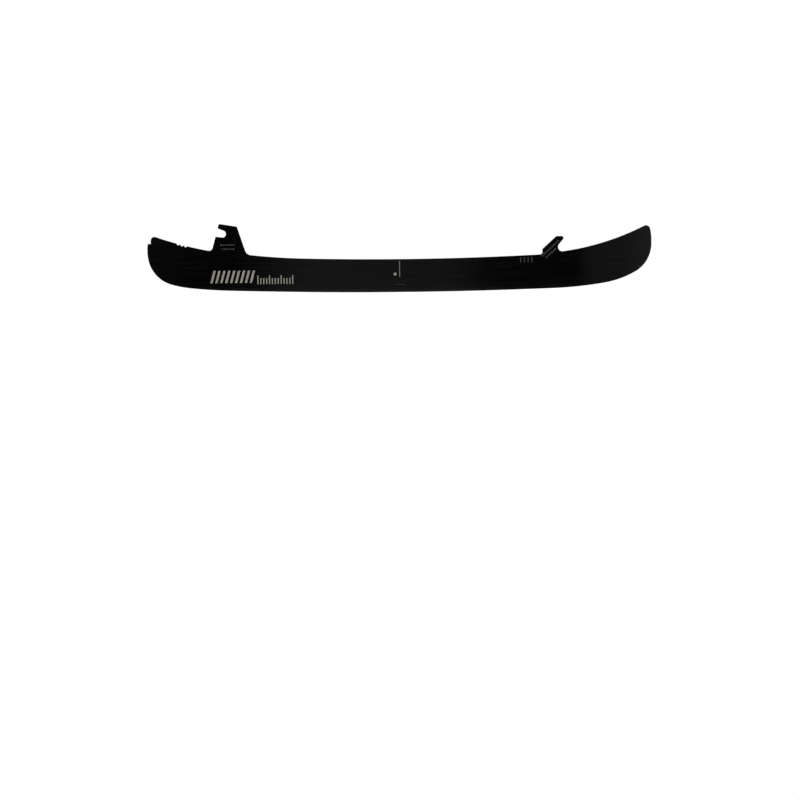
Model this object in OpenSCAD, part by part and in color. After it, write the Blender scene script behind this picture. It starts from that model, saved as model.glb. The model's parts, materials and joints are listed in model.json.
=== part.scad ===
// Hockey skate runner: one flat steel blade with a hook at each end, under a thin black carbon coating.
// Millimetres. X runs from toe to heel, Y through the thickness and Z up, and the origin is the centre of the
// front hook's pin seat. Heights of the upper features are measured from the upper edge at the centre mark.

/* [Blade] */
// Overall length from toe to heel
blade_length = 287; // [260:1:320]
// Thickness over the coating
blade_thickness = 3; // [2.5:0.1:4]
// Height from the running edge to the upper edge at the centre mark
waist_height = 18.8; // [16:0.1:24]
// Radius of the running edge
rocker_radius = 2750; // [2000:50:4000]
// Radius of the hollow upper edge between the hooks
waist_radius = 1750; // [1200:50:3000]

/* [Coating] */
// Thickness of the carbon film
coating_thickness = 0.05; // [0.02:0.01:0.1]
// Width of the centre mark opened in the film
mark_width = 0.5; // [0.3:0.1:2]
// Length of the centre mark
mark_length = 9; // [4:0.5:12]
// Distance of the centre mark below the upper edge
mark_inset = 1; // [0.5:0.1:3]

/* [Toe] */
// Radius of the toe's end face
toe_end_radius = 26; // [20:0.5:40]
// Radius of the toe's main round
toe_round_radius = 18.7; // [15:0.1:24]
// Radius of the blend below the main round
toe_blend_radius = 61; // [45:1:90]
// Radius of the run-out into the running edge
toe_runout_radius = 285; // [200:5:400]
// Turn of the end face below its outermost point, in degrees
toe_end_turn = 12; // [6:0.5:18]
// Turn of the blend, in degrees
toe_blend_turn = 10; // [7:0.5:13]
// Slope at which the blend meets the run-out, in degrees
toe_runout_slope = 6.5; // [5:0.5:8]
// Height of the step in the end face above the waist
toe_step_rise = 10; // [8:0.1:12]
// Depth of the step
toe_step_depth = 1.7; // [1:0.1:3]
// Height of the toe's top corner above the waist, before it is rounded
toe_top_rise = 14.9; // [13:0.1:18]
// Rounding of the toe's top corner
toe_top_round = 2.1; // [1:0.1:3]
// Radius of the hollow edge from the toe to the front hook
toe_edge_radius = 200; // [120:5:400]
// Height of that edge at the front hook above the waist
toe_edge_rise = 5.5; // [4:0.1:7]

/* [Toe teeth] */
// Number of small teeth cut in the toe's upper edge
tooth_count = 3; // [1:1:5]
// Spacing of the teeth along the blade
tooth_pitch = 2.1; // [1.5:0.1:3]
// Depth of the cuts
tooth_depth = 0.9; // [0.4:0.1:1.5]
// Distance from the toe's end to the first cut
tooth_start = 16.5; // [10:0.5:20]

/* [Front hook] */
// Distance from the toe's end to the centre of the pin seat
front_seat_from_toe = 42.8; // [38:0.1:50]
// Height of the pin seat's centre above the waist
front_seat_rise = 15.25; // [14:0.05:18]
// Radius of the pin seat
front_seat_radius = 2; // [1.5:0.05:2.5]
// Fall of the slot's floor towards the heel, in degrees
slot_floor_fall = 7; // [0:0.5:15]
// Fall of the slot's ceiling towards the heel, in degrees
slot_ceiling_fall = 21.5; // [16:0.5:30]
// Lean of the wall below the slot from upright, in degrees
front_wall_lean = 15.5; // [8:0.5:22]
// Distance from the pin seat's centre to that wall's line
front_wall_offset = 3.35; // [3:0.05:4.5]
// Lean of the nose above the slot from upright, in degrees
front_nose_lean = 19; // [10:0.5:25]
// Distance from the pin seat's centre to the nose's line
front_nose_offset = 3.7; // [3:0.05:4.5]
// Fall of the hook's top towards the heel, in degrees
front_top_fall = 9.5; // [0:0.5:15]
// Distance from the pin seat's centre to the hook's top
front_top_offset = 5.4; // [4.5:0.05:7]
// Lean of the hook's rear wall from upright, in degrees
front_back_lean = 18.5; // [10:0.5:28]
// Distance from the pin seat's centre to the rear wall's line
front_back_offset = 9.1; // [7:0.1:12]
// Fillet in front of the hook
front_toe_fillet = 2.1; // [1:0.1:3]
// Fillet behind the hook
front_back_fillet = 3.9; // [2:0.1:5]
// Radius on which the upper edge climbs to the hook
front_climb_radius = 370; // [250:10:600]
// Distance from the pin seat to where that climb starts
front_climb_start = 46.7; // [30:0.1:60]

/* [Rear hook] */
// Distance between the seats of the two hooks
hook_spacing = 193.5; // [180:0.5:205]
// Height of the notch's centre above the waist
rear_seat_rise = 6; // [5.5:0.05:7.5]
// Radius of the notch
rear_seat_radius = 2.5; // [2:0.05:3]
// Slope of the hook's inner face, in degrees
rear_inner_slope = 50; // [42:0.5:60]
// Slope of the hook's outer flank, in degrees
rear_flank_slope = 42.4; // [36:0.2:46]
// Distance from the notch's centre to the flank
rear_flank_offset = 6.9; // [6:0.1:8]
// Distance from the notch's centre to the upright wall below the flank
rear_wall_offset = 11.35; // [10:0.05:13]
// Height of the hook's top above the notch's centre
rear_top_rise = 6.2; // [5:0.1:8]
// Rounding of the hook's tip
rear_tip_round = 1.2; // [0.6:0.1:1.4]
// Rounding of the corner between flank and top
rear_top_round = 1.5; // [0.5:0.1:2]
// Fillet at the foot of the upright wall
rear_foot_fillet = 1.5; // [0.5:0.1:2]

/* [Heel] */
// Radius of the heel's end face
heel_end_radius = 37; // [28:0.5:50]
// Radius of the heel's main round
heel_round_radius = 18.5; // [15:0.1:24]
// Radius of the blend below the main round
heel_blend_radius = 54; // [40:1:75]
// Radius of the run-out into the running edge
heel_runout_radius = 232; // [150:2:350]
// Turn of the end face below its outermost point, in degrees
heel_end_turn = 4.6; // [2:0.1:8]
// Turn of the blend, in degrees
heel_blend_turn = 20; // [15:0.5:25]
// Slope at which the blend meets the run-out, in degrees
heel_runout_slope = 9.1; // [7:0.1:11]
// Height of the heel's tip above the waist, before it is rounded
heel_tip_rise = 19; // [16:0.1:22]
// Rounding of the heel's tip
heel_tip_round = 2.4; // [1.5:0.1:4]
// Radius of the hollow edge from the rear hook to the heel
heel_edge_radius = 148; // [100:2:300]
// Slope of that edge at the rear hook's notch, in degrees
heel_edge_slope = 7.5; // [4:0.5:12]

/* [Hidden] */
$fn = 96;
// How far each round seat cuts into the faces beside it
seat_bite = 0.02;
// Rounding of the hook's nose, of the other outer corners and of the toe's inner corner
nose_round = 0.8;
corner_round = 0.4;
inner_round = 0.2;
// Longest flat that draws a curve, and the turn of each flat in the arcs and in the small roundings
flat_length = 4;
flat_turn = 4;
round_turn = 12;
// Where along its pitch each tooth's cut is deepest
tooth_valley = 0.4;
// Space that a rounded corner keeps clear along a curve, as a multiple of its radius
corner_space = 1.5;

function along(angle) = [cos(angle), sin(angle)];
function leftward(angle) = [-sin(angle), cos(angle)];
function unit(v) = v / norm(v);
function angle_of(v) = atan2(v.y, v.x);
function plain(points) = [for (p = points) [p.x, p.y, 0]];
function rounded(p, r) = [[p.x, p.y, r]];
function reversed(list) = [for (i = [len(list) - 1:-1:0]) list[i]];
function first(list) = list[0];
function last(list) = list[len(list) - 1];
function after_first(list) = [for (i = [1:1:len(list) - 1]) list[i]];
function before_last(list) = [for (i = [0:1:len(list) - 2]) list[i]];
function distinct(points) =
    [for (i = [0:len(points) - 1]) if (i == 0 || norm(points[i] - points[i - 1]) > 0.001) points[i]];

// Where the line through p at angle a meets the line through q at angle b
function meet(p, a, q, b) = p + along(a) * cross(q - p, along(b)) / cross(along(a), along(b));

// Where the line through p at angle a leaves the circle of radius r about a centre
function leave(p, a, centre, r) =
    let (reach = (p - centre) * along(a))
    p + along(a) * (sqrt(reach * reach - (p - centre) * (p - centre) + r * r) - reach);

// Points along an arc
function arc(centre, r, from, to) =
    let (
        turn = abs(to - from),
        steps = max(2, ceil(turn / flat_turn), ceil(turn * PI / 180 * r / flat_length))
    )
    [for (i = [0:steps]) centre + r * along(from + (to - from) * i / steps)];
function arc_between(centre, r, p, q) = arc(centre, r, angle_of(p - centre), angle_of(q - centre));

// Centre of the arc of radius r that hangs below the chord from p to q, and the height on such an arc at x
function hollow_centre(p, q, r) =
    let (half = norm(q - p) / 2, up = leftward(angle_of(p.x < q.x ? q - p : p - q)))
    (p + q) / 2 + up * sqrt(r * r - half * half);
function hollow_point(centre, r, x) = [x, centre.y - sqrt(r * r - pow(x - centre.x, 2))];

// The corner at p between a and b rounded to its radius, or to what its two sides leave room for
function corner(a, p, b) =
    let (
        at = [p.x, p.y],
        to_a = [a.x, a.y] - at,
        to_b = [b.x, b.y] - at,
        half = acos(unit(to_a) * unit(to_b)) / 2,
        room_a = norm(to_a) * p.z / (p.z + max(a.z, 0.05)),
        room_b = norm(to_b) * p.z / (p.z + max(b.z, 0.05)),
        reach = min(p.z / tan(half), room_a, room_b),
        fit = reach * tan(half),
        centre = at + unit(unit(to_a) + unit(to_b)) * fit / sin(half),
        start = angle_of(at + unit(to_a) * reach - centre),
        turn = (cross(-to_a, to_b) > 0 ? 1 : -1) * (180 - 2 * half),
        steps = max(2, ceil(abs(turn) / round_turn))
    )
    [for (i = [0:steps]) centre + fit * along(start + turn * i / steps)];

// A closed path of [x, z, rounding] as plain points. Points of a curve that lie in a rounding are dropped.
function clear_of(p, corners) =
    min([for (c = corners) norm([p.x - c.x, p.y - c.y]) - corner_space * c.z]) > 0;
function smoothed(path) =
    let (
        corners = [for (p = path) if (p.z > 0) p],
        kept = [for (p = path) if (p.z > 0 || clear_of(p, corners)) p],
        n = len(kept)
    )
    [
        for (i = [0:n - 1])
            each kept[i].z > 0
                ? corner(kept[(i + n - 1) % n], kept[i], kept[(i + 1) % n])
                : [[kept[i].x, kept[i].y]]
    ];

// A closed path moved inwards by d
function inset(points, d) =
    let (n = len(points))
    [
        for (i = [0:n - 1])
            let (
                before = leftward(angle_of(points[i] - points[(i + n - 1) % n])),
                after = leftward(angle_of(points[(i + 1) % n] - points[i]))
            )
            points[i] + d * (before + after) / (1 + before * after)
    ];

// Lower curve of one end, in reach from the centre mark and height: it leaves the running edge on the run-out
// arc, tightens through the blend and the main round, and passes the outermost point up to a given height.
// Radii are listed from the end face inwards. c0 to c3 are the centres of their arcs, h1 to h4 the slopes at
// which the arcs start and h0 the slope at the top. The end face is two arcs that meet at its outermost
// point.
function end_curve(radii, end_turn, blend_turn, runout_slope, top) =
    let (
        h1 = 90 - end_turn,
        h2 = runout_slope + blend_turn,
        h3 = runout_slope,
        rounds = radii[0] * (1 - sin(h1)) + radii[1] * (sin(h1) - sin(h2)) + radii[2] * (sin(h2) - sin(h3)),
        h4 = asin((blade_length / 2 - rounds - radii[3] * sin(h3)) / (rocker_radius - radii[3])),
        c3 = [0, rocker_radius] - (rocker_radius - radii[3]) * leftward(h4),
        c2 = c3 - (radii[3] - radii[2]) * leftward(h3),
        c1 = c2 - (radii[2] - radii[1]) * leftward(h2),
        c0 = c1 - (radii[1] - radii[0]) * leftward(h1),
        h0 = 90 + asin((top - c0.y) / radii[0]),
        h = min(90, h0)
    )
    distinct(concat(
        arc(c3, radii[3], h4 - 90, h3 - 90),
        arc(c2, radii[2], h3 - 90, h2 - 90),
        arc(c1, radii[1], h2 - 90, h1 - 90),
        arc(c0, radii[0], h1 - 90, h - 90),
        arc(c0, radii[0], h - 90, h0 - 90)
    ));

// Running edge and the curves of the two ends
toe_x = -blade_length / 2;
toe_step_z = waist_height + toe_step_rise;
toe_radii = [toe_end_radius, toe_round_radius, toe_blend_radius, toe_runout_radius];
toe_end = end_curve(toe_radii, toe_end_turn, toe_blend_turn, toe_runout_slope, toe_step_z);
toe_curve = [for (p = toe_end) [-p.x, p.y]];
heel_radii = [heel_end_radius, heel_round_radius, heel_blend_radius, heel_runout_radius];
heel_tip_z = waist_height + heel_tip_rise;
heel_curve = end_curve(heel_radii, heel_end_turn, heel_blend_turn, heel_runout_slope, heel_tip_z);
running_edge = arc_between([0, rocker_radius], rocker_radius, first(toe_curve), first(heel_curve));

// Seats of the two hooks
front_seat = [toe_x + front_seat_from_toe, waist_height + front_seat_rise];
rear_seat = [front_seat.x + hook_spacing, waist_height + rear_seat_rise];
front_reach = front_seat_radius - seat_bite;
rear_reach = rear_seat_radius - seat_bite;

// Upper edge from the heel's tip to the floor of the rear notch
heel_tip = last(heel_curve);
notch_floor = rear_seat - rear_reach * leftward(heel_edge_slope);
heel_edge_centre = hollow_centre(heel_tip, notch_floor, heel_edge_radius);
heel_edge = arc_between(heel_edge_centre, heel_edge_radius, heel_tip, notch_floor);

// Rear hook: inner face above the notch, tip, flank and upright wall
notch_face = rear_seat + rear_reach * leftward(rear_inner_slope);
rear_top = rear_seat + [0, rear_top_rise];
rear_flank = rear_seat + rear_flank_offset * leftward(rear_flank_slope);
rear_wall = rear_seat - [rear_wall_offset, 0];
rear_tip = meet(notch_face, rear_inner_slope, rear_top, 0);
rear_shoulder = meet(rear_flank, rear_flank_slope, rear_top, 0);
rear_bend = meet(rear_flank, rear_flank_slope, rear_wall, 90);

// Front hook: lines of its rear wall, top, nose, slot and front wall
back_angle = front_back_lean - 90;
nose_angle = 90 - front_nose_lean;
wall_angle = 90 - front_wall_lean;
front_back = front_seat + front_back_offset * leftward(back_angle);
front_top = front_seat + front_top_offset * leftward(-front_top_fall);
front_nose = front_seat + front_nose_offset * leftward(nose_angle);
front_wall = front_seat + front_wall_offset * leftward(wall_angle);
slot_ceiling = front_seat + front_reach * leftward(-slot_ceiling_fall);
slot_floor = front_seat - front_reach * leftward(-slot_floor_fall);

// Upper edge between the hooks: the hollow waist, then the climb to the front hook, which carries on from it
waist_centre = [0, waist_height + waist_radius];
rear_foot = hollow_point(waist_centre, waist_radius, rear_wall.x);
climb_foot = hollow_point(waist_centre, waist_radius, front_seat.x + front_climb_start);
climb_centre = climb_foot + front_climb_radius * unit(waist_centre - climb_foot);
front_foot = leave(front_back, back_angle, climb_centre, front_climb_radius);
waist_edge = arc_between(waist_centre, waist_radius, rear_foot, climb_foot);
climb_edge = arc_between(climb_centre, front_climb_radius, climb_foot, front_foot);

// Corners of the front hook
back_top = meet(front_back, back_angle, front_top, -front_top_fall);
nose_top = meet(front_nose, nose_angle, front_top, -front_top_fall);
nose_tip = meet(front_nose, nose_angle, slot_ceiling, -slot_ceiling_fall);
slot_lip = meet(front_wall, wall_angle, slot_floor, -slot_floor_fall);
wall_foot = meet(front_wall, wall_angle, [0, waist_height + toe_edge_rise], 0);

// Upper edge from the front hook to the toe's top corner, with the teeth cut into it
toe_top = [last(toe_curve).x + toe_step_depth, waist_height + toe_top_rise];
toe_edge_centre = hollow_centre(toe_top, wall_foot, toe_edge_radius);
function toe_edge_point(x) = hollow_point(toe_edge_centre, toe_edge_radius, x);
first_tooth = toe_edge_point(toe_x + tooth_start);
teeth_end = toe_edge_point(first_tooth.x + tooth_count * tooth_pitch);
teeth = [
    for (i = [tooth_count - 1:-1:0])
        each [
            toe_edge_point(first_tooth.x + (i + tooth_valley) * tooth_pitch) - [0, tooth_depth],
            toe_edge_point(first_tooth.x + i * tooth_pitch)
        ]
];

// Outline of the coated blade from the toe's run-out round by the heel, with the pin seat at the origin
outline_path = concat(
    plain(running_edge),
    plain(after_first(before_last(heel_curve))),
    rounded(heel_tip, heel_tip_round),
    plain(after_first(heel_edge)),
    plain([notch_face]),
    rounded(rear_tip, rear_tip_round),
    rounded(rear_shoulder, rear_top_round),
    rounded(rear_bend, corner_round),
    rounded(rear_foot, rear_foot_fillet),
    plain(after_first(waist_edge)),
    plain(after_first(before_last(climb_edge))),
    rounded(front_foot, front_back_fillet),
    rounded(back_top, corner_round),
    rounded(nose_top, nose_round),
    rounded(nose_tip, nose_round),
    plain([slot_ceiling, slot_floor]),
    rounded(slot_lip, corner_round),
    rounded(wall_foot, front_toe_fillet),
    plain(after_first(arc_between(toe_edge_centre, toe_edge_radius, wall_foot, teeth_end))),
    plain(teeth),
    plain(after_first(before_last(arc_between(toe_edge_centre, toe_edge_radius, first_tooth, toe_top)))),
    rounded(toe_top, toe_top_round),
    rounded([toe_top.x, toe_step_z], inner_round),
    rounded(last(toe_curve), corner_round),
    plain(after_first(reversed(after_first(toe_curve))))
);
outline = [for (p = smoothed(outline_path)) p - front_seat];

// Round cut for a hook's seat, through the whole thickness
module seat_cut(seat, r) {
    translate([seat.x - front_seat.x, 0, seat.y - front_seat.y])
        rotate([90, 0, 0])
            cylinder(r = r, h = blade_thickness * 2, center = true);
}

// The whole blade, smaller by d on every face
module blank(d) {
    difference() {
        rotate([90, 0, 0])
            linear_extrude(blade_thickness - 2 * d, center = true)
                polygon(inset(outline, d));
        seat_cut(front_seat, front_seat_radius + d);
        seat_cut(rear_seat, rear_seat_radius + d);
    }
}

// The centre mark, as an opening through the film on both faces
module centre_mark() {
    middle = waist_height - mark_inset - mark_length / 2 - front_seat.y;
    for (side = [-1, 1])
        translate([-front_seat.x, side * blade_thickness / 2, middle])
            cube([mark_width, coating_thickness * 3, mark_length], center = true);
}

module steel_runner() {
    color("silver")
        blank(coating_thickness);
}

module carbon_coating() {
    color("#141414")
        difference() {
            blank(0);
            blank(coating_thickness);
            centre_mark();
        }
}

steel_runner();
carbon_coating();
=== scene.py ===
import json
import math

import bmesh
import bpy
from mathutils import Matrix, Vector


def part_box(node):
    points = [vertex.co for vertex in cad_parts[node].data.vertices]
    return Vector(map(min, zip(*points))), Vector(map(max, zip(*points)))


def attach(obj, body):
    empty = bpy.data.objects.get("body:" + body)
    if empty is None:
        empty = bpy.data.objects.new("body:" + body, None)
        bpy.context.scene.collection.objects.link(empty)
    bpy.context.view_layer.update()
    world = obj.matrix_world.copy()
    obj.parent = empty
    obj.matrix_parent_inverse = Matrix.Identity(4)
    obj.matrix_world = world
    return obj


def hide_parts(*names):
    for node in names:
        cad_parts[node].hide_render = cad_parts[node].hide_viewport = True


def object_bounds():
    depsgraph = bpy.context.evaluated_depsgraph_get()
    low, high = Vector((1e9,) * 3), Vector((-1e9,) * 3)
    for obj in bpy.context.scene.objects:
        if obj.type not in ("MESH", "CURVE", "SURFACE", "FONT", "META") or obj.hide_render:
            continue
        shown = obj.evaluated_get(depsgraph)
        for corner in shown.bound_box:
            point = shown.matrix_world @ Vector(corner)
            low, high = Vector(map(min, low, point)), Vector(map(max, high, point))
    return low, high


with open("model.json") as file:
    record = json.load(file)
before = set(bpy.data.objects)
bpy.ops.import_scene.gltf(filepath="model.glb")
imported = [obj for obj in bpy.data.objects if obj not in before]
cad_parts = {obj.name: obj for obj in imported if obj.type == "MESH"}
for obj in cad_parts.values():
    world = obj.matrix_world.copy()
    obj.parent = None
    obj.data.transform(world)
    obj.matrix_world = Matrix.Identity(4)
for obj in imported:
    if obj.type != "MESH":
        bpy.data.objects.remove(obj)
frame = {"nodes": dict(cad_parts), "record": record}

cad_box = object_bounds()


# Steel runner
# The blade itself: one flat blank of hardened stainless steel, laser-cut to outline and ground on both faces.
# The film hides all of it but the centre mark, where the laser has cleared the film and left the steel matt.

MM = 0.001


def linear(hex_colour):
    """An sRGB hex colour as linear RGBA."""
    channels = [int(hex_colour[i:i + 2], 16) / 255 for i in (1, 3, 5)]
    return [c / 12.92 if c <= 0.04045 else ((c + 0.055) / 1.055) ** 2.4 for c in channels] + [1.0]


def add_node(tree, kind, inputs=None, stops=(), **settings):
    """A node with its settings, its inputs set to values or linked to sockets, and a ramp's colour stops."""
    node = tree.nodes.new(kind)
    for name, value in settings.items():
        setattr(node, name, value)
    for name, value in (inputs or {}).items():
        if isinstance(value, bpy.types.NodeSocket):
            tree.links.new(value, node.inputs[name])
        else:
            node.inputs[name].default_value = value
    if stops:
        elements = node.color_ramp.elements
        while len(elements) < len(stops):
            elements.new(1.0)
        for element, (position, colour) in zip(elements, stops):
            element.position = position
            element.color = colour
    return node


def new_material(name):
    """An empty node material, with its tree."""
    material = bpy.data.materials.new(name)
    material.use_nodes = True
    material.node_tree.nodes.clear()
    return material, material.node_tree


def drawn_lines(tree, place, spacing, detail):
    """Noise from nought to one, drawn out into lines by its spacing along X, Y and Z."""
    drawn = add_node(tree, "ShaderNodeMapping", {"Vector": place, "Scale": [1 / s for s in spacing]})
    return add_node(tree, "ShaderNodeTexNoise", {
        "Vector": drawn.outputs["Vector"], "Scale": 1.0, "Detail": detail,
    }).outputs["Fac"]


# Ground stainless steel: a grey metal whose fine lines run along the blade and draw its highlights out.
# The lines are 0.05 mm apart on the real blank and drawn at 0.4 mm so that they show.
# The tint runs from the low to the high value of the noise, which seldom goes past them.
STEEL_DARK = "#75726d"
STEEL_LIGHT = "#888580"
STEEL_SMOOTH = 0.42
STEEL_ROUGH = 0.56
GRIND_LENGTH = 25 * MM
GRIND_PITCH = 0.4 * MM
GRIND_DEPTH = 0.01 * MM
GRIND_STRENGTH = 0.3
NOISE_LOW = 0.35
NOISE_HIGH = 0.65
steel, tree = new_material("ground_stainless_steel")
place = add_node(tree, "ShaderNodeTexCoord").outputs["Object"]
lines = drawn_lines(tree, place, (GRIND_LENGTH, GRIND_PITCH, GRIND_PITCH), detail=3.0)
tint = add_node(tree, "ShaderNodeValToRGB", {"Fac": lines}, [
    (NOISE_LOW, linear(STEEL_DARK)), (NOISE_HIGH, linear(STEEL_LIGHT)),
])
gloss = add_node(tree, "ShaderNodeMapRange", {"Value": lines, "To Min": STEEL_SMOOTH, "To Max": STEEL_ROUGH})
relief = add_node(tree, "ShaderNodeBump", {
    "Height": lines, "Strength": GRIND_STRENGTH, "Distance": GRIND_DEPTH,
})
surface = add_node(tree, "ShaderNodeBsdfPrincipled", {
    "Base Color": tint.outputs["Color"], "Metallic": 1.0,
    "Roughness": gloss.outputs["Result"], "Normal": relief.outputs["Normal"],
})
add_node(tree, "ShaderNodeOutputMaterial", {"Surface": surface.outputs["BSDF"]})

runner = frame["nodes"]["steel_runner"]
runner.data.materials.clear()
runner.data.materials.append(steel)


# Carbon film
# The black skin of the whole blade: a hard, glossy carbon coating laid on the ground steel from vapour.
# It follows the blank's outline, rounds its deburred rims and is cleared by laser at each face's centre mark.

RIM_ROUND = 0.13 * MM
RIM_STEPS = 3
QUARTER_TURN = math.radians(90)
SEAT_STEP = math.radians(4)
SHARP_TURN = math.radians(25)
MERGE_DISTANCE = 0.0005 * MM
SEAT_TOLERANCE = 0.002 * MM
film_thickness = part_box("steel_runner")[0].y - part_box("carbon_coating")[0].y
film_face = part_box("carbon_coating")[1].y


def face_loops(mesh, y):
    """The closed edges of a mesh's flat face at y, longest first, as lists of points across the blade."""
    sheet = bmesh.new()
    sheet.from_mesh(mesh)
    bmesh.ops.remove_doubles(sheet, verts=sheet.verts, dist=MERGE_DISTANCE)
    flat = [f for f in sheet.faces if all(abs(v.co.y - y) < MERGE_DISTANCE for v in f.verts)]
    on_face = set(flat)
    following = {}
    for f in flat:
        for loop in f.loops:
            if sum(other in on_face for other in loop.edge.link_faces) == 1:
                following[loop.vert] = loop.link_loop_next.vert
    loops = []
    while following:
        start, vert = following.popitem()
        loop = [start]
        while vert is not start:
            loop.append(vert)
            vert = following.pop(vert)
        loops.append([(v.co.x, v.co.z) for v in loop])
    sheet.free()
    return sorted(loops, key=len, reverse=True)


def seats_refined(outline, seats):
    """An outline with true arcs in place of the flats that draw each round seat."""
    points = []
    for p, q in zip(outline, outline[1:] + outline[:1]):
        points.append(Vector(p))
        for centre, radius in seats:
            a, b = Vector(p) - centre, Vector(q) - centre
            if abs(a.length - radius) < SEAT_TOLERANCE and abs(b.length - radius) < SEAT_TOLERANCE:
                turn = math.atan2(a.x * b.y - a.y * b.x, a.dot(b))
                steps = math.ceil(abs(turn) / SEAT_STEP)
                points += [centre + Matrix.Rotation(turn * i / steps, 2) @ a for i in range(1, steps)]
    return points


def inset(points, distance):
    """A closed outline moved into the blade, which lies to the left of its points' order."""
    moved = []
    for i, p in enumerate(points):
        before = (p - points[i - 1]).normalized()
        after = (points[(i + 1) % len(points)] - p).normalized()
        m, n = Vector((-before.y, before.x)), Vector((-after.y, after.x))
        moved.append(p + distance * (m + n) / (1 + m.dot(n)))
    return moved


mounts = {m["name"]: m for m in frame["record"]["mounts"]}
seats = [
    (Vector((m["pos_m"][0], m["pos_m"][2])), m["dims"]["r_mm"] * MM)
    for m in (mounts["front_hook_slot"], mounts["rear_hook_notch"])
]
outline, *openings = face_loops(frame["nodes"]["carbon_coating"].data, -film_face)
outline = seats_refined(outline, seats)
area = sum(p.x * q.y - p.y * q.x for p, q in zip(outline, outline[1:] + outline[:1]))
if area < 0:
    outline.reverse()

# Rings of the outline go from the left face round its rim, across the edge and round the right face's rim
skin = bmesh.new()
rings = []
for side in (-1, 1):
    for step in range(RIM_STEPS + 1):
        turn = QUARTER_TURN * (step / RIM_STEPS if side < 0 else 1 - step / RIM_STEPS)
        y = side * (film_face - RIM_ROUND * (1 - math.cos(turn)))
        ring = inset(outline, RIM_ROUND * (1 - math.sin(turn)))
        rings.append([skin.verts.new((p.x, y, p.y)) for p in ring])
for ring, after in zip(rings, rings[1:]):
    for i in range(len(ring)):
        skin.faces.new((ring[i - 1], ring[i], after[i], after[i - 1])).smooth = True
for i, p in enumerate(outline):
    if (p - outline[i - 1]).angle(outline[(i + 1) % len(outline)] - p) > SHARP_TURN:
        for ring, after in zip(rings, rings[1:]):
            skin.edges.get((ring[i], after[i])).smooth = False

# Each face is filled inside its rim with the centre mark left open, then the skin is given its thickness
for ring, y in ((rings[0], -film_face), (rings[-1], film_face)):
    rim = [skin.edges.get((ring[i - 1], ring[i])) for i in range(len(ring))]
    for edge in rim:
        edge.smooth = False
    for opening in openings:
        corners = [skin.verts.new((x, y, z)) for x, z in opening]
        rim += [skin.edges.new((corners[i - 1], corners[i])) for i in range(len(corners))]
    bmesh.ops.triangle_fill(skin, edges=rim, use_beauty=True, use_dissolve=False)
bmesh.ops.recalc_face_normals(skin, faces=skin.faces)
film_mesh = bpy.data.meshes.new("carbon_film")
skin.to_mesh(film_mesh)
skin.free()
film = bpy.data.objects.new("carbon_film", film_mesh)
bpy.context.scene.collection.objects.link(film)
wall = film.modifiers.new("film", "SOLIDIFY")
wall.thickness = film_thickness
wall.offset = -1.0
film.modifiers.new("flats", "WEIGHTED_NORMAL").keep_sharp = True

# Glossy black carbon film: it mirrors the room faintly, like black glass, and its gloss clouds over 20 mm.
# The faces show the grinding as soft lines, a little greyer. Round the edge the laser's cut leaves the film
# satin and streaked. Both are 0.05 to 0.2 mm apart and drawn at 0.5 and 0.9 mm so that they show.
FILM_BLACK = "#000000"
FILM_LINES = "#0a0a0a"
FILM_IOR = 1.48
FILM_SMOOTH = 0.02
FILM_ROUGH = 0.045
CLOUD_SIZE = 20 * MM
LINE_LENGTH = 30 * MM
LINE_PITCH = 0.5 * MM
LINE_DEPTH = 0.002 * MM
LINE_STRENGTH = 0.05
LINE_HIGH = 0.7
STREAK_LENGTH = 6 * MM
STREAK_PITCH = 0.9 * MM
STREAK_DEPTH = 0.03 * MM
EDGE_ROUGH = 0.3
EDGE_SIDEWAYS = 0.2
FACE_SIDEWAYS = 0.6
carbon, tree = new_material("glossy_carbon_film")
coordinates = add_node(tree, "ShaderNodeTexCoord").outputs
place = coordinates["Object"]
cloud = add_node(tree, "ShaderNodeTexNoise", {"Vector": place, "Scale": 1 / CLOUD_SIZE, "Detail": 2.0})
gloss = add_node(tree, "ShaderNodeMapRange", {
    "Value": cloud.outputs["Fac"], "To Min": FILM_SMOOTH, "To Max": FILM_ROUGH,
})
lines = drawn_lines(tree, place, (LINE_LENGTH, LINE_PITCH, LINE_PITCH), detail=2.0)
tint = add_node(tree, "ShaderNodeValToRGB", {"Fac": lines}, [
    (NOISE_LOW, linear(FILM_BLACK)), (LINE_HIGH, linear(FILM_LINES)),
])
ground = add_node(tree, "ShaderNodeBump", {
    "Height": lines, "Strength": LINE_STRENGTH, "Distance": LINE_DEPTH,
})
streaks = drawn_lines(tree, place, (STREAK_PITCH, STREAK_LENGTH, STREAK_PITCH), detail=1.0)
facing = add_node(tree, "ShaderNodeSeparateXYZ", {"Vector": coordinates["Normal"]}).outputs["Y"]
sideways = add_node(tree, "ShaderNodeMath", {0: facing}, operation="ABSOLUTE").outputs["Value"]
on_edge = add_node(tree, "ShaderNodeMapRange", {
    "Value": sideways, "From Min": EDGE_SIDEWAYS, "From Max": FACE_SIDEWAYS, "To Min": 1.0, "To Max": 0.0,
}).outputs["Result"]
satin = add_node(tree, "ShaderNodeMapRange", {
    "Value": on_edge, "To Min": gloss.outputs["Result"], "To Max": EDGE_ROUGH,
})
cut = add_node(tree, "ShaderNodeBump", {
    "Height": streaks, "Strength": on_edge, "Distance": STREAK_DEPTH, "Normal": ground.outputs["Normal"],
})
surface = add_node(tree, "ShaderNodeBsdfPrincipled", {
    "Base Color": tint.outputs["Color"], "IOR": FILM_IOR,
    "Roughness": satin.outputs["Result"], "Normal": cut.outputs["Normal"],
})
add_node(tree, "ShaderNodeOutputMaterial", {"Surface": surface.outputs["BSDF"]})
film_mesh.materials.append(carbon)

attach(film, "root")
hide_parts("carbon_coating")


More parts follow.
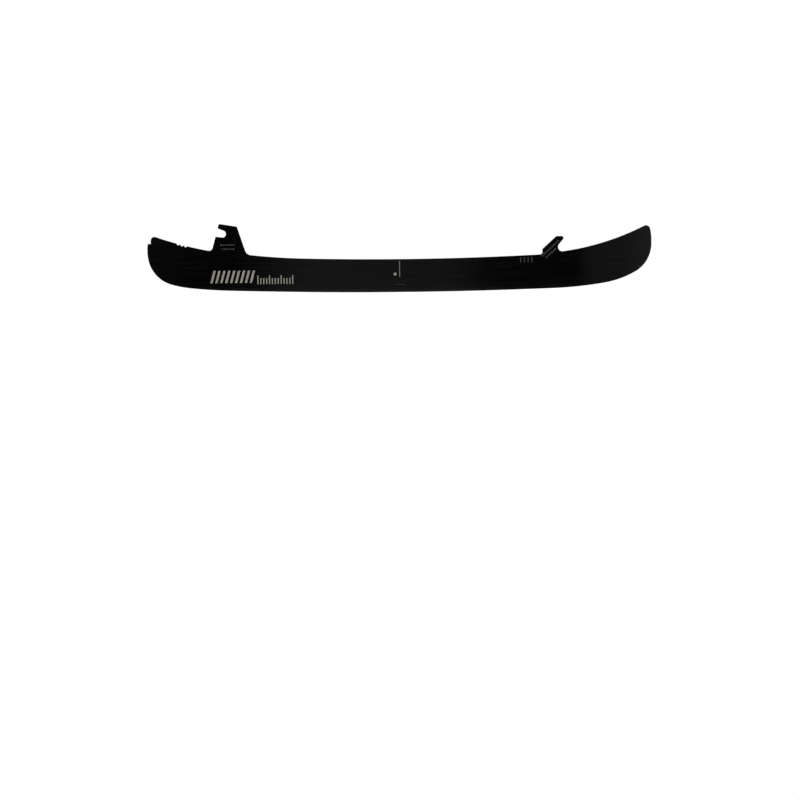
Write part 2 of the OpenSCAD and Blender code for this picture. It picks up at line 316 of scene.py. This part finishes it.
# Etched stripes and scale
# Two plain rows of marks by the running edge near the toe, on both faces: bold slanting stripes and a fine
# scale. A laser clears the film along them and frosts the steel, which leaves them matt and light grey.
# They are drawn as thin blocks, half sunk in the film and 0.02 mm proud of it so that they show.

MARK_PROUD = 0.02 * MM
centre_mark = openings[0]
foot_of_mark = Vector((sum(x for x, _ in centre_mark) / len(centre_mark), 0, cad_box[0].z))


def place_on_blade(x, z):
    """A place given in millimetres from the centre mark and the lowest point of the running edge."""
    return foot_of_mark + Vector((x, 0, z)) * MM


row = bpy.data.node_groups.new("etched_row", "GeometryNodeTree")
row_inputs = {
    name: row.interface.new_socket(name, in_out="INPUT", socket_type="NodeSocket" + kind).identifier
    for name, kind in (
        ("Start", "Vector"), ("Step", "Vector"), ("Count", "Int"), ("Width", "Float"), ("Height", "Float"),
        ("Long Height", "Float"), ("Long Every", "Int"), ("Slant", "Float"), ("Turn", "Float"),
        ("Least Share", "Float"), ("Seed", "Int"), ("Face", "Float"), ("Thickness", "Float"),
        ("Finish", "Material"),
    )
}
row.interface.new_socket("Marks", in_out="OUTPUT", socket_type="NodeSocketGeometry")
given = add_node(row, "NodeGroupInput").outputs

# A block of unit height stands on its foot and is repeated along the row, even or uneven in width.
# The first mark of each group is a long one: its number, nought, is the only one under a half.
UNIT_HEIGHT = 1.0
line = add_node(row, "GeometryNodeMeshLine", {
    "Count": given["Count"], "Start Location": given["Start"], "Offset": given["Step"],
}, mode="OFFSET")
size = add_node(row, "ShaderNodeCombineXYZ", {"X": given["Width"], "Y": given["Thickness"], "Z": UNIT_HEIGHT})
block = add_node(row, "GeometryNodeMeshCube", {"Size": size.outputs["Vector"]})
stood = add_node(row, "GeometryNodeTransform", {
    "Geometry": block.outputs["Mesh"], "Translation": (0, 0, UNIT_HEIGHT / 2),
})
index = add_node(row, "GeometryNodeInputIndex").outputs["Index"]
number = add_node(row, "ShaderNodeMath", {0: index, 1: given["Long Every"]}, operation="MODULO")
is_long = add_node(row, "FunctionNodeCompare", {
    "A": number.outputs["Value"], "B": 0.5,
}, operation="LESS_THAN")
height = add_node(row, "GeometryNodeSwitch", {
    "Switch": is_long.outputs["Result"], "False": given["Height"], "True": given["Long Height"],
}, input_type="FLOAT")
share = add_node(row, "FunctionNodeRandomValue", {
    "Min": given["Least Share"], "Max": 1.0, "Seed": given["Seed"],
})
scale = add_node(row, "ShaderNodeCombineXYZ", {
    "X": share.outputs["Value"], "Y": 1.0, "Z": height.outputs["Output"],
})
turned = add_node(row, "ShaderNodeCombineXYZ", {"Y": given["Turn"]})
marks = add_node(row, "GeometryNodeInstanceOnPoints", {
    "Points": line.outputs["Mesh"], "Instance": stood.outputs["Geometry"],
    "Rotation": turned.outputs["Vector"], "Scale": scale.outputs["Vector"],
})

# The same marks lie on both faces, and slant by their run over their rise
both = add_node(row, "GeometryNodeJoinGeometry")
for side in (-1.0, 1.0):
    depth = add_node(row, "ShaderNodeMath", {0: given["Face"], 1: side}, operation="MULTIPLY")
    shift = add_node(row, "ShaderNodeCombineXYZ", {"Y": depth.outputs["Value"]})
    on_face = add_node(row, "GeometryNodeTransform", {
        "Geometry": marks.outputs["Instances"], "Translation": shift.outputs["Vector"],
    })
    row.links.new(on_face.outputs["Geometry"], both.inputs["Geometry"])
real = add_node(row, "GeometryNodeRealizeInstances", {"Geometry": both.outputs["Geometry"]})
position = add_node(row, "GeometryNodeInputPosition").outputs["Position"]
above = add_node(row, "ShaderNodeVectorMath", {0: position, 1: given["Start"]}, operation="SUBTRACT")
rise = add_node(row, "ShaderNodeSeparateXYZ", {"Vector": above.outputs["Vector"]})
run = add_node(row, "ShaderNodeMath", {0: rise.outputs["Z"], 1: given["Slant"]}, operation="MULTIPLY")
lean = add_node(row, "ShaderNodeCombineXYZ", {"X": run.outputs["Value"]})
leaning = add_node(row, "GeometryNodeSetPosition", {
    "Geometry": real.outputs["Geometry"], "Offset": lean.outputs["Vector"],
})
finished = add_node(row, "GeometryNodeSetMaterial", {
    "Geometry": leaning.outputs["Geometry"], "Material": given["Finish"],
})
add_node(row, "NodeGroupOutput", {"Marks": finished.outputs["Geometry"]})


def etched_row(
    name, finish, slot, start, width, height, step=(0, 0), count=1, long_height=None, long_every=1,
    slant=0.0, slope=0.0, least_share=1.0, seed=0,
):
    """A row of marks on both faces, as a plain mesh. All lengths are in millimetres."""
    piece = bpy.data.objects.new(name, bpy.data.meshes.new(name))
    bpy.context.scene.collection.objects.link(piece)
    modifier = piece.modifiers.new("row", "NODES")
    modifier.node_group = row
    # A turn about Y goes down towards the heel, so a row that slopes up turns the other way
    values = {
        "Start": place_on_blade(*start), "Step": Vector((step[0], 0, step[1])) * MM, "Count": count,
        "Width": width * MM, "Height": height * MM, "Long Height": (long_height or height) * MM,
        "Long Every": long_every, "Slant": slant, "Turn": -slope, "Least Share": least_share, "Seed": seed,
        "Face": film_face, "Thickness": 2 * MARK_PROUD, "Finish": finish,
    }
    for key, value in values.items():
        modifier[row_inputs[key]] = value
    mesh = bpy.data.meshes.new_from_object(piece.evaluated_get(bpy.context.evaluated_depsgraph_get()))
    piece.modifiers.clear()
    piece.data = mesh
    mesh.name = name
    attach(piece, "root")


# Laser-frosted steel: a matt light grey, warm beside the black, hatched by the laser's scan lines along the
# blade. They are 0.05 mm apart and drawn at 0.3 mm so that they show.
FROST_DARK = "#757069"
FROST_LIGHT = "#938f88"
FROST_METALLIC = 0.3
FROST_SMOOTH = 0.55
FROST_ROUGH = 0.7
SCAN_LENGTH = 2.5 * MM
SCAN_PITCH = 0.3 * MM
SCAN_DEPTH = 0.01 * MM
SCAN_STRENGTH = 0.3
frosted, tree = new_material("laser_frosted_steel")
place = add_node(tree, "ShaderNodeTexCoord").outputs["Object"]
scan = drawn_lines(tree, place, (SCAN_LENGTH, SCAN_PITCH, SCAN_PITCH), detail=2.0)
tint = add_node(tree, "ShaderNodeValToRGB", {"Fac": scan}, [
    (NOISE_LOW, linear(FROST_DARK)), (NOISE_HIGH, linear(FROST_LIGHT)),
])
gloss = add_node(tree, "ShaderNodeMapRange", {"Value": scan, "To Min": FROST_SMOOTH, "To Max": FROST_ROUGH})
relief = add_node(tree, "ShaderNodeBump", {"Height": scan, "Strength": SCAN_STRENGTH, "Distance": SCAN_DEPTH})
surface = add_node(tree, "ShaderNodeBsdfPrincipled", {
    "Base Color": tint.outputs["Color"], "Metallic": FROST_METALLIC,
    "Roughness": gloss.outputs["Result"], "Normal": relief.outputs["Normal"],
})
add_node(tree, "ShaderNodeOutputMaterial", {"Surface": surface.outputs["BSDF"]})

etched_row(
    "bold_stripes", frosted, "stainless_steel",
    start=(-107.2, 6.1), step=(2.8, 0), count=9, width=1.3, height=7.0, slant=0.27,
)
etched_row(
    "fine_scale", frosted, "stainless_steel",
    start=(-80.7, 5.3), step=(1.65, 0), count=13, width=0.6, height=3.4, long_height=5.0, long_every=4,
)


# Centre dot
# A small square dot beside the centre mark on both faces, near its foot.
# It is frosted through the film by the same laser as the stripes.

etched_row("centre_dot", frosted, "stainless_steel", start=(-2.6, 9.5), width=1.5, height=1.5)


# Faint marks
# Small marks where the laser has only greyed the film: two broken rows on each hook, ticks ahead of the rear
# hook and a line below the centre mark.

# Greyed carbon film: matt and barely lighter than the film round it, hatched by the same scan lines.
FAINT_DARK = "#121211"
FAINT_LIGHT = "#2a2927"
FAINT_SMOOTH = 0.4
FAINT_ROUGH = 0.55
greyed, tree = new_material("greyed_carbon_film")
place = add_node(tree, "ShaderNodeTexCoord").outputs["Object"]
scan = drawn_lines(tree, place, (SCAN_LENGTH, SCAN_PITCH, SCAN_PITCH), detail=2.0)
tint = add_node(tree, "ShaderNodeValToRGB", {"Fac": scan}, [
    (NOISE_LOW, linear(FAINT_DARK)), (NOISE_HIGH, linear(FAINT_LIGHT)),
])
gloss = add_node(tree, "ShaderNodeMapRange", {"Value": scan, "To Min": FAINT_SMOOTH, "To Max": FAINT_ROUGH})
surface = add_node(tree, "ShaderNodeBsdfPrincipled", {
    "Base Color": tint.outputs["Color"], "IOR": FILM_IOR, "Roughness": gloss.outputs["Result"],
})
add_node(tree, "ShaderNodeOutputMaterial", {"Surface": surface.outputs["BSDF"]})

HOOK_SLOPE = math.radians(42.4)
FRONT_DASH = {"width": 1.2, "height": 0.8, "least_share": 0.3}
REAR_DASH = {"width": 1.2, "height": 1.1, "least_share": 0.4, "slope": HOOK_SLOPE}
up_hook = Vector((math.cos(HOOK_SLOPE), math.sin(HOOK_SLOPE)))
for name, sizes in (
    ("hook_row_upper", dict(FRONT_DASH, start=(-101.4, 27.35), step=(1.5, 0), count=6, seed=3)),
    ("hook_row_lower", dict(FRONT_DASH, start=(-101.2, 25.0), step=(1.35, 0), count=6, seed=8)),
    ("heel_ticks", dict(start=(69.0, 16.2), step=(2.1, 0), count=4, width=0.6, height=3.1)),
    ("rear_row_upper", dict(REAR_DASH, start=(81.8, 19.6), step=1.5 * up_hook, count=9, seed=5)),
    ("rear_row_lower", dict(REAR_DASH, start=(84.1, 18.6), step=1.35 * up_hook, count=6, seed=11)),
    ("centre_line", dict(start=(0.35, 4.25), width=5.1, height=0.25)),
):
    etched_row(name, greyed, "black_carbon_film", **sizes)


# Studio
# A plain pale floor under the running edge, a white surround and two soft lamps. In front of the blade and
# behind it lie dark mats that run up into dark walls, which only its gloss shows. They are painted
# reflection:
# glowing sheets that light nothing and lay black and grey reflected tones on the blade's faces.

FLOOR_REACH = 1.2
floor_z = cad_box[0].z
middle = (cad_box[0] + cad_box[1]) / 2


def stage_mesh(name, corners, faces, material):
    """A piece of the studio, which isn't part of the object."""
    mesh = bpy.data.meshes.new(name)
    mesh.from_pydata(corners, [], faces)
    mesh.materials.append(material)
    piece = bpy.data.objects.new(name, mesh)
    bpy.context.scene.collection.objects.link(piece)
    return piece


def seen_rays(tree):
    """One for a ray by which the eye sees a surface, directly, in gloss or through glass, and else nought."""
    path = add_node(tree, "ShaderNodeLightPath").outputs
    seen = add_node(tree, "ShaderNodeMath", {
        0: path["Is Camera Ray"], 1: path["Is Glossy Ray"],
    }, operation="ADD")
    return add_node(tree, "ShaderNodeMath", {
        0: seen.outputs["Value"], 1: path["Is Transmission Ray"],
    }, operation="ADD", use_clamp=True).outputs["Value"]


# White paper: it keeps the blade's soft shadow and fades to plain white further out.
PAPER_WHITE = "#f4f4f2"
FADE_START = 0.3
FADE_END = 1.1
NEAR_LIFT = 0.08
FAR_LIFT = 0.3
pale, tree = new_material("white_paper")
place = add_node(tree, "ShaderNodeTexCoord").outputs["Object"]
off = add_node(tree, "ShaderNodeVectorMath", {0: place, 1: middle}, operation="DISTANCE")
fade = add_node(tree, "ShaderNodeMapRange", {
    "Value": off.outputs["Value"], "From Min": FADE_START, "From Max": FADE_END,
    "To Min": NEAR_LIFT, "To Max": FAR_LIFT,
})
lift = add_node(tree, "ShaderNodeMath", {
    0: seen_rays(tree), 1: fade.outputs["Result"],
}, operation="MULTIPLY")
matt = add_node(tree, "ShaderNodeBsdfDiffuse", {"Color": linear(PAPER_WHITE)})
white = add_node(tree, "ShaderNodeEmission", {"Strength": lift.outputs["Value"]})
lit = add_node(tree, "ShaderNodeAddShader", {0: matt.outputs["BSDF"], 1: white.outputs["Emission"]})
add_node(tree, "ShaderNodeOutputMaterial", {"Surface": lit.outputs["Shader"]})
stage_mesh("floor", [
    (x * FLOOR_REACH, y * FLOOR_REACH, floor_z) for x, y in ((-1, -1), (1, -1), (1, 1), (-1, 1))
], [(0, 1, 2, 3)], pale)

# The surround is white where it is seen, in gloss too, and lights matt surfaces at half that level
SURROUND_LIGHT = 0.5
SURROUND_SEEN = 1.0
world = bpy.data.worlds.new("white_surround")
world.use_nodes = True
tree = world.node_tree
tree.nodes.clear()
level = add_node(tree, "ShaderNodeMapRange", {
    "Value": seen_rays(tree), "To Min": SURROUND_LIGHT, "To Max": SURROUND_SEEN,
})
light = add_node(tree, "ShaderNodeBackground", {"Color": (1, 1, 1, 1), "Strength": level.outputs["Result"]})
add_node(tree, "ShaderNodeOutputWorld", {"Surface": light.outputs["Background"]})
bpy.context.scene.world = world

# Each lamp has its place in metres from the blade's middle, which it faces, and its watts
LAMP_SIDE = 1.2
LAMPS = (("key_lamp", (-0.8, -1.7, 1.3), 34), ("back_lamp", (1.0, 1.5, 1.2), 24))
for name, offset, watts in LAMPS:
    lamp = bpy.data.lights.new(name, "AREA")
    lamp.size = LAMP_SIDE
    lamp.energy = watts
    holder = bpy.data.objects.new(name, lamp)
    holder.location = middle + Vector(offset)
    holder.rotation_euler = (-Vector(offset)).to_track_quat("-Z", "Y").to_euler()
    bpy.context.scene.collection.objects.link(holder)

# Camera: square on to the left face, low down and 2.5 m away, aimed below the blade.
# The picture is 455.8 mm wide at the blade and turned by 0.58 degrees.
CAMERA_DISTANCE = 2.5
CAMERA_HEIGHT = 3 * MM
FRAME_WIDTH = 455.84 * MM
PICTURE_TURN = math.radians(0.58)
SENSOR_WIDTH = 36.0
aim = Vector((100.16, 0, -95.55)) * MM
camera_data = bpy.data.cameras.new("camera")
camera_data.sensor_width = SENSOR_WIDTH
camera_data.lens = SENSOR_WIDTH * CAMERA_DISTANCE / FRAME_WIDTH
camera = bpy.data.objects.new("camera", camera_data)
bpy.context.scene.collection.objects.link(camera)
camera.location = Vector((aim.x, -CAMERA_DISTANCE, floor_z + CAMERA_HEIGHT))
forward = (aim - camera.location).normalized()
up = Vector((math.sin(PICTURE_TURN), 0, math.cos(PICTURE_TURN)))
right = forward.cross(up).normalized()
up = right.cross(forward)
axes = Matrix((right, up, -forward)).transposed().to_4x4()
camera.matrix_world = Matrix.Translation(camera.location) @ axes
bpy.context.scene.camera = camera

# The dark walls carry a grey panel over the middle and one at the heel's end, and the mats lighten a little
# way off the blade. These levels are painted reflection: lighter patches along the blade's faces, and a
# painted sheen that greys the faces towards their top when they are seen from above. Each pair is a place in
# metres, along the walls or out from the blade, and a light level.
WALL_DISTANCE = 3.0
WALL_REACH = 5.0
WALL_TOP = 0.8
MAT_LIFT = 0.1 * MM
PANEL_SPAN = 0.5
PAINTED_PANELS = [
    (-0.31, 0.04), (-0.26, 0.0), (-0.21, 0.0), (-0.11, 0.16), (0.065, 0.13), (0.115, 0.02), (0.226, 0.0),
    (0.235, 0.11), (0.285, 0.14), (0.31, 0.25), (0.45, 0.03),
]
PAINTED_MAT_SHEEN = [(0.0, 0.0), (0.06, 0.25), (0.15, 0.35), (0.5, 0.35), (0.9, 0.0)]
# Painted reflection: a glow, seen only in gloss, that sets the black and grey tones the blade mirrors
shade, tree = new_material("painted_reflection_surround")
place = add_node(tree, "ShaderNodeTexCoord").outputs["Object"]
off = add_node(tree, "ShaderNodeVectorMath", {0: place, 1: aim}, operation="SUBTRACT")
from_aim = add_node(tree, "ShaderNodeSeparateXYZ", {"Vector": off.outputs["Vector"]}).outputs
along = add_node(tree, "ShaderNodeMapRange", {
    "Value": from_aim["X"], "From Min": -PANEL_SPAN, "From Max": PANEL_SPAN,
})
painted_panels = add_node(tree, "ShaderNodeValToRGB", {"Fac": along.outputs["Result"]}, [
    ((x + PANEL_SPAN) / (2 * PANEL_SPAN), (level, level, level, 1.0)) for x, level in PAINTED_PANELS
])
out = add_node(tree, "ShaderNodeMath", {0: from_aim["Y"]}, operation="ABSOLUTE")
sheen = add_node(tree, "ShaderNodeValToRGB", {"Fac": out.outputs["Value"]}, [
    (y, (level, level, level, 1.0)) for y, level in PAINTED_MAT_SHEEN
])
tone = add_node(tree, "ShaderNodeVectorMath", {
    0: painted_panels.outputs["Color"], 1: sheen.outputs["Color"],
}, operation="ADD")
glow = add_node(tree, "ShaderNodeEmission", {"Color": tone.outputs["Vector"], "Strength": 1.0})
add_node(tree, "ShaderNodeOutputMaterial", {"Surface": glow.outputs["Emission"]})
# The sheets are hidden from the camera, from matt light and from shadows, so they show only as painted
# reflection
for name, side in (("front_surround", -1), ("rear_surround", 1)):
    profile = (
        (side * film_face, floor_z + MAT_LIFT),
        (side * WALL_DISTANCE, floor_z + MAT_LIFT),
        (side * WALL_DISTANCE, WALL_TOP),
    )
    surround = stage_mesh(name, [
        (aim.x + x, y, z) for y, z in profile for x in (-WALL_REACH, WALL_REACH)
    ], [(0, 1, 3, 2), (2, 3, 5, 4)], shade)
    for ray in ("camera", "diffuse", "transmission", "volume_scatter", "shadow"):
        setattr(surround, "visible_" + ray, False)

bpy.context.scene.view_settings.view_transform = "Standard"
